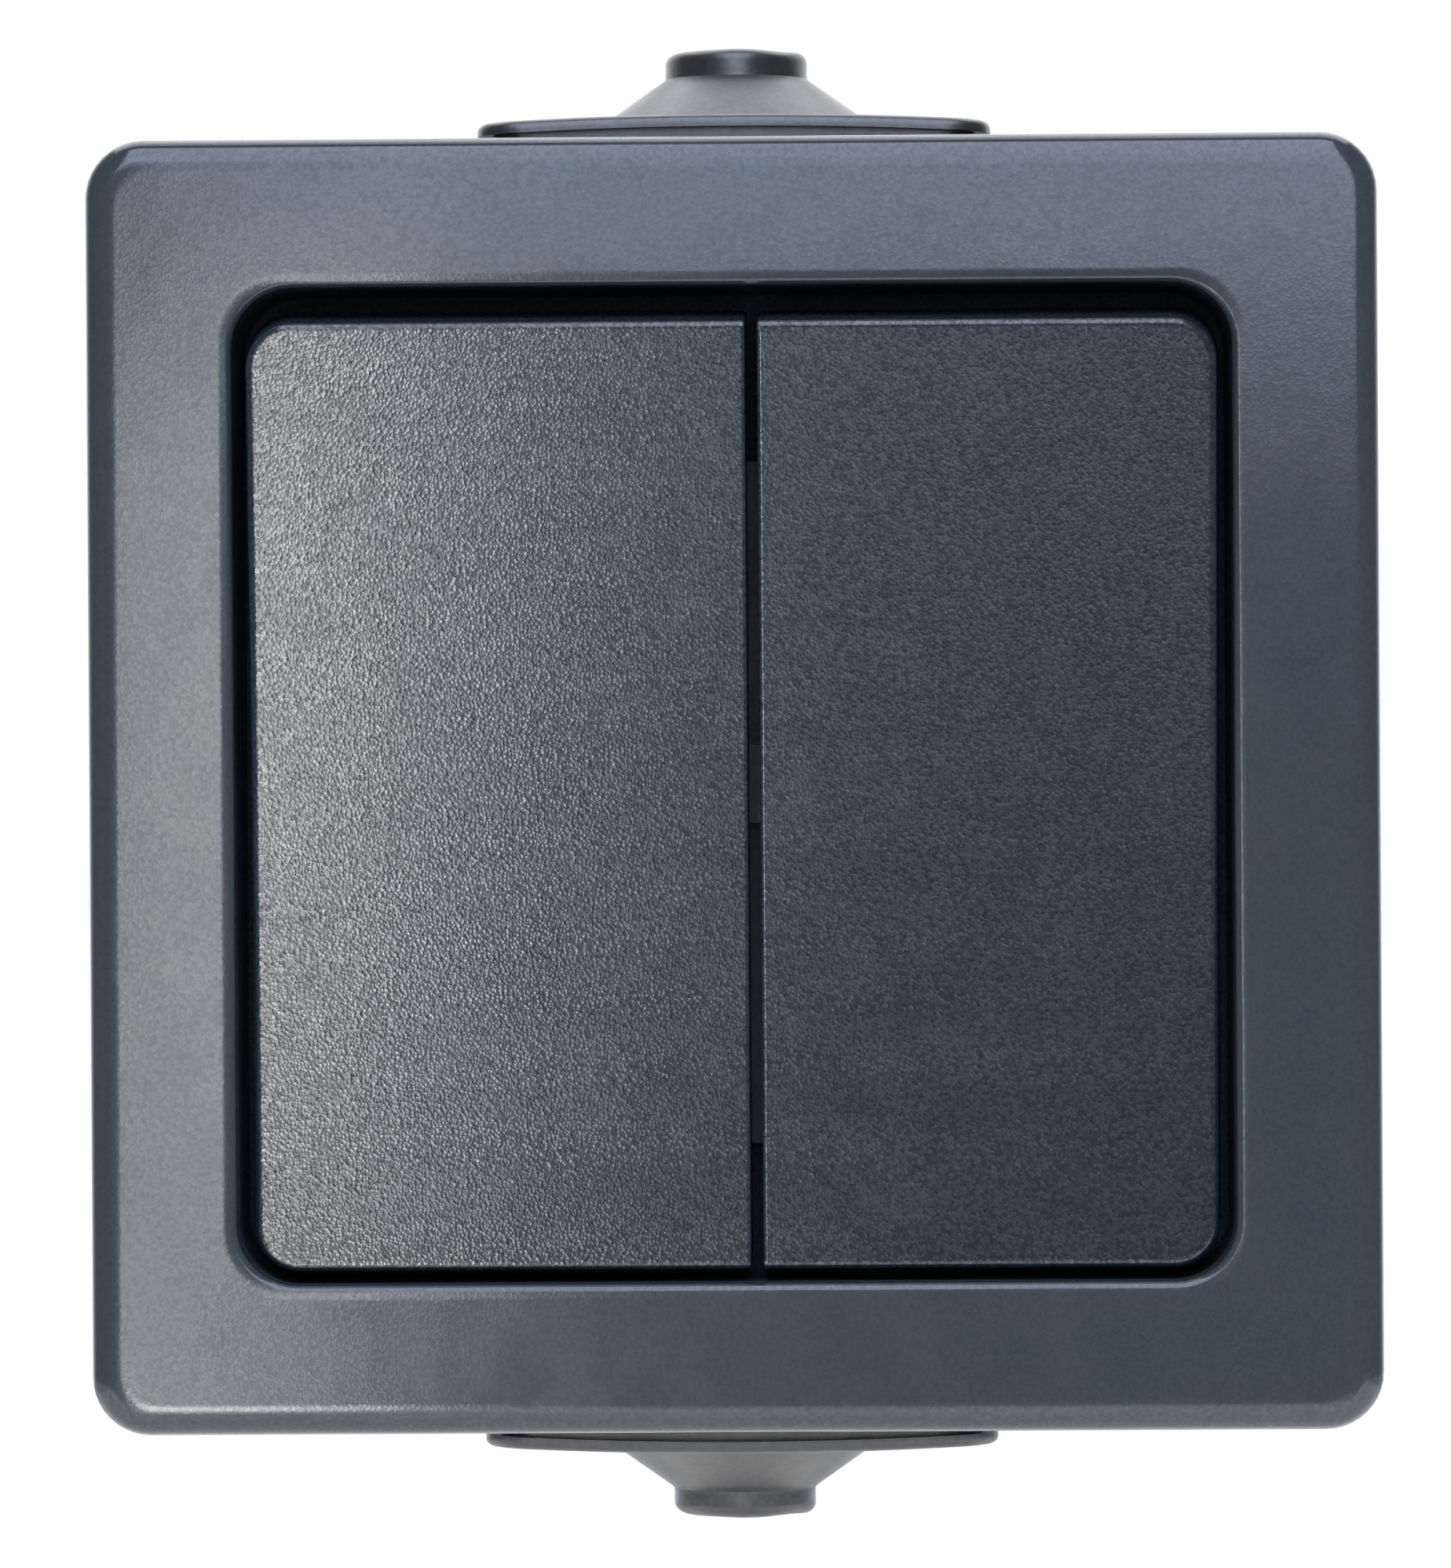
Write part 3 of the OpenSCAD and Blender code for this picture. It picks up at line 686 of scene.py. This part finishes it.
def build_spring(side):
    """A compression spring with a closed turn at each end."""
    name = SIDE_NAME[side]
    free = SPRING_FRONT - SPRING_BACK - 2 * WIRE_RADIUS
    closed = CLOSED_TURNS * CLOSED_PITCH
    pitch = (free - 2 * closed) / (SPRING_TURNS - 2 * CLOSED_TURNS)
    rings = []
    for step in range(SPRING_TURNS * SPRING_STEPS + 1):
        turns = step / SPRING_STEPS
        first = min(turns, CLOSED_TURNS)
        last = max(turns - SPRING_TURNS + CLOSED_TURNS, 0)
        rise = (first + last) * CLOSED_PITCH + (turns - first - last) * pitch
        depth = SPRING_BACK + WIRE_RADIUS + rise
        ring = []
        for corner in range(WIRE_SIDES):
            around = 2 * math.pi * corner / WIRE_SIDES
            reach = SPRING_RADIUS + WIRE_RADIUS * math.cos(around)
            x = side * unit_x + reach * math.cos(2 * math.pi * turns)
            z = reach * math.sin(2 * math.pi * turns)
            ring.append((x, -depth - WIRE_RADIUS * math.sin(around), z))
        rings.append(ring)
    spring = loft(name + "_plunger_spring", rings)
    spring.data.transform(lean)
    finish_piece(spring, name + "_switch", MATERIALS["steel"], [name + "_spring"])
    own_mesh(spring)


# ---- base box ----

BOX_CORNER = 3.0
BOX_BACK_EDGE = 0.5
SHOULDER = 34.5
RIM = (62.6, 62.8)
RIM_CORNER = 1.8
RIM_WALL = 1.3
BOX_BACK_WALL = 2.5
ENTRY_RADIUS = 10.0
WALL_HOLE = 2.25
WALL_HOLES = (25.0, 21.0)
POST_RADIUS = 3.2
POST_FRONT = 34.3
POST_HOLE = 1.45
POST_HOLE_END = 23.5
FOOT_RADIUS = 3.0
FOOT_FRONT = 8.0
FOOT_HOLE_END = 3.1
MODULE_SCREW = (18.2, 11.6)
SHOULDER_BEVEL = 0.3
RIM_BEVEL = 0.2
RIM_INNER_BEVEL = 0.15
BOX_CAVITY_CORNER = 1.0
BOX_FLOOR_FILLET = 0.6
BOX_FLOOR_FILLET_MIDDLE = 0.18
POST_BEVEL = 0.2
WALL_HOLE_BACK_BEVEL = 0.25
WALL_HOLE_FRONT_BEVEL = 0.4
ENTRY_STEPS = 96


def post(radius, front, place):
    """A round post on the box's back wall, with a bevelled front."""
    foot = (radius, BOX_BACK_WALL - SKIN)
    return turned([foot, (radius, front - POST_BEVEL), (radius - POST_BEVEL, front)], place, "depth")


def wall_hole(back, place):
    """The cut for a wall screw, bevelled at both ends."""
    profile = [
        (WALL_HOLE + WALL_HOLE_BACK_BEVEL + SKIN, back - SKIN),
        (WALL_HOLE, back + WALL_HOLE_BACK_BEVEL),
        (WALL_HOLE, BOX_BACK_WALL - WALL_HOLE_FRONT_BEVEL),
        (WALL_HOLE + WALL_HOLE_FRONT_BEVEL + SKIN, BOX_BACK_WALL + SKIN),
    ]
    return turned(profile, place, "depth")


def build_base_box():
    """The open box on the wall, with its posts, screw holes and the two cable entries."""
    back, front = depths("base_box")
    size = (width("base_box"), height("base_box"))
    cavity = tuple(side - 2 * RIM_WALL for side in RIM)
    rings = [
        inset_ring(size, inset, BOX_CORNER, back + fall)
        for inset, fall in reversed(round_steps(BOX_BACK_EDGE))
    ]
    for base, inset, corner, depth in (
        (size, 0, BOX_CORNER, SHOULDER - SHOULDER_BEVEL),
        (size, SHOULDER_BEVEL, BOX_CORNER, SHOULDER),
        (RIM, 0, RIM_CORNER, SHOULDER),
        (RIM, 0, RIM_CORNER, front - RIM_BEVEL),
        (RIM, RIM_BEVEL, RIM_CORNER, front),
        (cavity, -RIM_INNER_BEVEL, BOX_CAVITY_CORNER, front),
        (cavity, 0, BOX_CAVITY_CORNER, front - RIM_INNER_BEVEL),
        (cavity, 0, BOX_CAVITY_CORNER, BOX_BACK_WALL + BOX_FLOOR_FILLET),
        (cavity, BOX_FLOOR_FILLET_MIDDLE, BOX_CAVITY_CORNER, BOX_BACK_WALL + BOX_FLOOR_FILLET_MIDDLE),
        (cavity, BOX_FLOOR_FILLET, BOX_CAVITY_CORNER, BOX_BACK_WALL),
    ):
        rings.append(inset_ring(base, inset, corner, depth))
    box = loft("box_shell", rings, "zip")
    posts = [post(POST_RADIUS, POST_FRONT, cover_screw_place(side)) for side in (LEFT, RIGHT)]
    for side_x in (LEFT, RIGHT):
        for side_z in (-1, 1):
            place = (side_x * MODULE_SCREW[0], side_z * MODULE_SCREW[1])
            posts.append(post(FOOT_RADIUS, FOOT_FRONT, place))
    combine(box, posts, "UNION")
    cuts = []
    for side in (LEFT, RIGHT):
        foot_place = (side * MODULE_SCREW[0], -side * MODULE_SCREW[1])
        cuts.append(bore(POST_HOLE, POST_HOLE_END, POST_FRONT + SKIN, cover_screw_place(side)))
        cuts.append(bore(POST_HOLE, FOOT_HOLE_END, FOOT_FRONT + SKIN, foot_place))
        for side_z in (-1, 1):
            cuts.append(wall_hole(back, (side * WALL_HOLES[0], side_z * WALL_HOLES[1])))
    entry_depth = sum(depths("top_cable_grommet")) / 2
    entry = [(ENTRY_RADIUS, -size[1]), (ENTRY_RADIUS, size[1])]
    cuts.append(turned(entry, (0, entry_depth), "up", ENTRY_STEPS))
    combine(box, cuts, "DIFFERENCE")
    finish_piece(box, "housing", MATERIALS["box_plastic"], ["base_box"])


# ---- grommets ----

FLANGE_CORNER = 2.0
FLANGE_EDGE = 0.45
FLANGE_RISE = 0.4
FLANGE_MIDDLE = 35.15
FLANGE_LIP = 0.65
FLANGE_RECESS = 0.8
LIP_RADIUS = 11.0
LIP = 1.1
NECK_GAP = 0.05
CONE_FOOT = (8.6, 34.4)
CONE_HEAD = (3.85, 37.75)
CAP_DROP = 0.25
CAP_RADIUS = 3.8
CAP_EDGE = 0.6
CAP_RING_RADII = (0.9, 1.9, 2.7)
CAP_WAVE = 0.035
CAP_ROOT = ((0, 0.25), (0.02, 0.06))
CONE_SHARES = (0.03, 0.35, 0.7, 0.9, 0.97)
CONE_FOOT_FILLET = 0.25
FLANGE_SHARES = (0.35, 0.75)
FLANGE_SMALLEST_CORNER = 0.2
LIP_BEVEL = 0.5
RUBBER_WALL = 1.2
HOLLOW_BEVEL = 0.3
HOLLOW_SETBACK = 0.4
HOLLOW_END_BEVEL = 0.2
HOLLOW_END_RADIUS = 1.0
GROMMET_STEPS = 144
GROMMET_TURNS = [2 * math.pi * step / GROMMET_STEPS for step in range(GROMMET_STEPS)]
TINY = 1e-9


def flange_reach(turn, half, corner):
    """Distance from the middle to a rounded rectangle's edge, in one direction."""
    across, up = abs(math.cos(turn)), abs(math.sin(turn))
    to_side = half[0] / across if across > TINY else math.inf
    to_end = half[1] / up if up > TINY else math.inf
    if to_side * up <= half[1] - corner:
        return to_side
    if to_end * across <= half[0] - corner:
        return to_end
    middle_x, middle_y = half[0] - corner, half[1] - corner
    along = across * middle_x + up * middle_y
    return along + math.sqrt(max(along**2 - middle_x**2 - middle_y**2 + corner**2, 0))


def cap_wave(turn):
    """An uneven wave round the cap, never above 0."""
    return math.sin(3 * turn + 0.6) + 0.6 * math.sin(5 * turn + 2.1) - 1.6


def round_ring(radius, up, wave=0.0):
    """A circle at a height, dropped by the cap's wave."""
    return [
        (radius * math.cos(turn), radius * math.sin(turn), up + wave * cap_wave(turn))
        for turn in GROMMET_TURNS
    ]


def build_grommet(name, direction):
    """A hollow gland: cap, cone, arched flange, neck through the box's wall, and lip behind it.

    It is built with the cap up, and direction 1 or -1 then says which way the cap points.
    """
    low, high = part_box(name)
    axis_depth = sum(depths(name)) / 2
    half = (width(name) / 2, (depths(name)[1] - depths(name)[0]) / 2)
    top = max(abs(low[2]), abs(high[2])) / MM - CAP_DROP
    wall_in, wall_out = (RIM[1] - 2 * RIM_WALL) / 2, height("base_box") / 2
    arc = (half[0] ** 2 + FLANGE_RISE**2) / (2 * FLANGE_RISE)

    def crown(x):
        """Height of the flange's arched top."""
        return FLANGE_MIDDLE - arc + math.sqrt(arc**2 - x**2)

    def flange_ring(inset, fall, level=None):
        """The flange's outline drawn in by an inset, below its arched top or at one level."""
        inset_half = (half[0] - inset, half[1] - inset)
        corner = max(FLANGE_CORNER - inset, FLANGE_SMALLEST_CORNER)
        ring = []
        for turn in GROMMET_TURNS:
            reach = flange_reach(turn, inset_half, corner)
            x, y = reach * math.cos(turn), reach * math.sin(turn)
            ring.append((x, y, crown(x) - fall if level is None else level))
        return ring

    rings = [round_ring(radius, top, CAP_WAVE) for radius in CAP_RING_RADII]
    for inset, fall in reversed(round_steps(CAP_EDGE)):
        rings.append(round_ring(CAP_RADIUS - inset, top - fall, CAP_WAVE))
    for extra_radius, above in CAP_ROOT:
        rings.append(round_ring(CAP_RADIUS + extra_radius, CONE_HEAD[1] + above))
    for share in CONE_SHARES:
        radius = CONE_HEAD[0] + (CONE_FOOT[0] - CONE_HEAD[0]) * share
        rings.append(round_ring(radius, CONE_HEAD[1] + (CONE_FOOT[1] - CONE_HEAD[1]) * share))
    foot = [(x, y, crown(x)) for x, y, _ in round_ring(CONE_FOOT[0] + CONE_FOOT_FILLET, 0)]
    rings.append(foot)
    edge = flange_ring(FLANGE_EDGE, 0)
    for share in FLANGE_SHARES:
        ring = []
        for near, far in zip(foot, edge):
            x, y = (near[axis] + (far[axis] - near[axis]) * share for axis in (0, 1))
            ring.append((x, y, crown(x)))
        rings.append(ring)
    for inset, fall in reversed(round_steps(FLANGE_EDGE)):
        rings.append(flange_ring(inset, fall))
    rings.append(flange_ring(0, FLANGE_LIP))
    rings.append(flange_ring(FLANGE_RECESS, FLANGE_LIP))
    rings.append(flange_ring(FLANGE_RECESS, 0, wall_out))
    neck = ENTRY_RADIUS - NECK_GAP
    lip_back = wall_in - LIP
    hollow = CONE_FOOT[0] - RUBBER_WALL
    hollow_end = CONE_HEAD[0] - RUBBER_WALL
    hollow_top = top - RUBBER_WALL
    for radius, up in (
        (neck, wall_out),
        (neck, wall_in),
        (LIP_RADIUS, wall_in),
        (LIP_RADIUS - LIP_BEVEL, lip_back),
        (hollow + HOLLOW_BEVEL, lip_back),
        (hollow, lip_back + HOLLOW_BEVEL),
        (hollow, CONE_FOOT[1] - HOLLOW_SETBACK),
        (hollow_end, CONE_HEAD[1] - HOLLOW_SETBACK),
        (hollow_end, hollow_top - HOLLOW_END_BEVEL),
        (hollow_end - HOLLOW_END_BEVEL, hollow_top),
        (HOLLOW_END_RADIUS, hollow_top),
    ):
        rings.append(round_ring(radius, up))
    placed = [[(x, y - axis_depth, direction * up) for x, y, up in ring] for ring in rings]
    grommet = loft(name.replace("grommet", "gland"), placed)
    finish_piece(grommet, "housing", MATERIALS["grommet_rubber"], [name], sharp=40)


# ---- carried-over CAD nodes ----

REBUILT = {"base_box", "cover_frame", "left_rocker", "right_rocker", "left_spring", "right_spring",
           "top_cable_grommet", "bottom_cable_grommet"}


def dress_cad_nodes():
    """Gives each CAD node that stays its material."""
    for name, node in frame["nodes"].items():
        if name in REBUILT:
            continue
        node.data.materials.clear()
        node.data.materials.append(MATERIALS[slots[name]])


# ---- camera, light and floor ----

FRONT_TO_CAMERA = 450.0
LIGHT_DISTANCE = 900.0
VIEW_HEIGHT = 79.88
CAMERA_X = 6.8
CAMERA_Z = 1.0
AIM_X = -0.42
AIM_Z = 0.02
ROLL = 0.37
SENSOR = 36.0
CLIP_RANGE = (0.01, 20)
LEFT_LIGHT_STEP = 5
FLOOR_DROP = 35.0
FLOOR_RADIUS = 300.0
FLOOR_THICKNESS = 2
FLOOR_STEPS = 128
FLOOR_CLOUD_SIZE = 0.05
FLOOR_ROUGHNESS = 0.7
WORLD_COLOUR = (0.97, 0.99, 1.03, 1)
WORLD_LIGHT = 0.3
BACKDROP_LIGHT = 1.8
BACKDROP_START = 0.3
BACKDROP_END = 0.8


def build_camera():
    """A camera in front of the cover, aimed near its middle and rolled a little."""
    front = depths("cover_frame")[1]
    lens = bpy.data.cameras.new("camera")
    lens.sensor_fit = "AUTO"
    lens.sensor_width = SENSOR
    lens.lens = SENSOR * FRONT_TO_CAMERA / VIEW_HEIGHT
    lens.clip_start, lens.clip_end = CLIP_RANGE
    camera = bpy.data.objects.new("camera", lens)
    bpy.context.scene.collection.objects.link(camera)
    place = Vector((CAMERA_X, -front - FRONT_TO_CAMERA, CAMERA_Z)) * MM
    aim = Vector((AIM_X, -front, AIM_Z)) * MM
    turn = (aim - place).to_track_quat("-Z", "Y").to_matrix().to_4x4()
    camera.matrix_world = Matrix.Translation(place) @ turn @ Matrix.Rotation(-math.radians(ROLL), 4, "Z")
    bpy.context.scene.camera = camera


def softbox(name, middle, size, radiance, colour, facing=(0, 1, 0)):
    """A rectangular light that the camera doesn't see. middle is x, depth and z, in millimetres.

    facing is the way it shines, in the frame's coordinates: towards the wall unless it says otherwise.
    """
    light = bpy.data.lights.new(name, "AREA")
    light.shape = "RECTANGLE"
    light.size = size[0] * MM
    light.size_y = size[1] * MM
    light.energy = radiance * math.pi * light.size * light.size_y
    light.color = colour
    lamp = bpy.data.objects.new(name, light)
    bpy.context.scene.collection.objects.link(lamp)
    lamp.location = Vector((middle[0], -middle[1], middle[2])) * MM
    lamp.rotation_mode = "QUATERNION"
    lamp.rotation_quaternion = Vector(facing).to_track_quat("-Z", "Y")
    lamp.visible_camera = False


def build_lights():
    """Lights in a plane before the switch, whose reflections shade its face, and three above and below."""
    plane = depths("cover_frame")[1] + LIGHT_DISTANCE
    softbox("left_light", (-95, plane, -3), (70, 136), 5.0, (1.0, 0.98, 0.97))
    softbox("left_inner_light", (-79, plane - LEFT_LIGHT_STEP, 5), (30, 140), 4.8, (1.0, 0.98, 0.97))
    softbox("corner_light", (-110, plane, -90), (46, 36), 7.0, (1.0, 0.99, 0.98))
    softbox("low_left_light", (-107, plane, -160), (62, 80), 22.0, (1.0, 0.99, 0.98))
    softbox("low_light", (25, plane, -223), (170, 94), 1.6, (0.85, 0.95, 1.15))
    softbox("front_top_light", (45, plane, 136), (300, 136), 3.9, (0.85, 0.97, 1.24))
    softbox("high_light", (0, 476, 369), (400, 756), 4.2, (0.86, 0.97, 1.22), (0, 0.505, -0.862))
    softbox("overhead_light", (0, -190, 420), (560, 380), 2.2, (0.98, 0.99, 1.05), (0, 0, -1))
    softbox("bounce_light", (0, 150, -72), (300, 330), 0.85, (1.05, 0.99, 0.90), (0, 0, 1))


def build_world():
    """Soft light that is stronger behind the switch, and plain white where the camera sees it."""
    world = bpy.data.worlds.new("studio")
    bpy.context.scene.world = world
    world.use_nodes = True
    tree = world.node_tree
    tree.nodes.clear()
    output = tree.nodes.new("ShaderNodeOutputWorld")
    mix = tree.nodes.new("ShaderNodeMixShader")
    seen = tree.nodes.new("ShaderNodeLightPath")
    glow = tree.nodes.new("ShaderNodeBackground")
    glow.inputs["Color"].default_value = WORLD_COLOUR
    direction = tree.nodes.new("ShaderNodeTexCoord")
    parts = tree.nodes.new("ShaderNodeSeparateXYZ")
    behind = tree.nodes.new("ShaderNodeMapRange")
    behind.inputs["From Min"].default_value = BACKDROP_START
    behind.inputs["From Max"].default_value = BACKDROP_END
    behind.inputs["To Min"].default_value = WORLD_LIGHT
    behind.inputs["To Max"].default_value = BACKDROP_LIGHT
    tree.links.new(direction.outputs["Generated"], parts.inputs["Vector"])
    tree.links.new(parts.outputs["Y"], behind.inputs["Value"])
    tree.links.new(behind.outputs["Result"], glow.inputs["Strength"])
    white = tree.nodes.new("ShaderNodeBackground")
    white.inputs["Color"].default_value = (1, 1, 1, 1)
    white.inputs["Strength"].default_value = 1.0
    tree.links.new(seen.outputs["Is Camera Ray"], mix.inputs["Fac"])
    tree.links.new(glow.outputs["Background"], mix.inputs[1])
    tree.links.new(white.outputs["Background"], mix.inputs[2])
    tree.links.new(mix.outputs["Shader"], output.inputs["Surface"])
    bpy.context.scene.view_settings.view_transform = "Standard"


def build_floor():
    """A pale round floor below the switch."""
    graph = Graph("floor_paint")
    cloudy = graph.noise(FLOOR_CLOUD_SIZE, detail=3)
    graph.set("Base Color", graph.blend(cloudy, (0.80, 0.80, 0.80), (0.84, 0.84, 0.84)))
    graph.set("Roughness", FLOOR_ROUGHNESS)
    level = cad_low[2] / MM - FLOOR_DROP
    profile = [(FLOOR_RADIUS, level - FLOOR_THICKNESS), (FLOOR_RADIUS, level)]
    floor = turned(profile, (0, 0), "up", FLOOR_STEPS)
    floor.name = "floor"
    floor.data.materials.append(graph.material)


build_camera()
build_lights()
build_world()
build_floor()
build_cover_frame()
for side in (LEFT, RIGHT):
    build_rocker(side)
    build_spring(side)
build_base_box()
build_grommet("top_cable_grommet", 1)
build_grommet("bottom_cable_grommet", -1)
dress_cad_nodes()
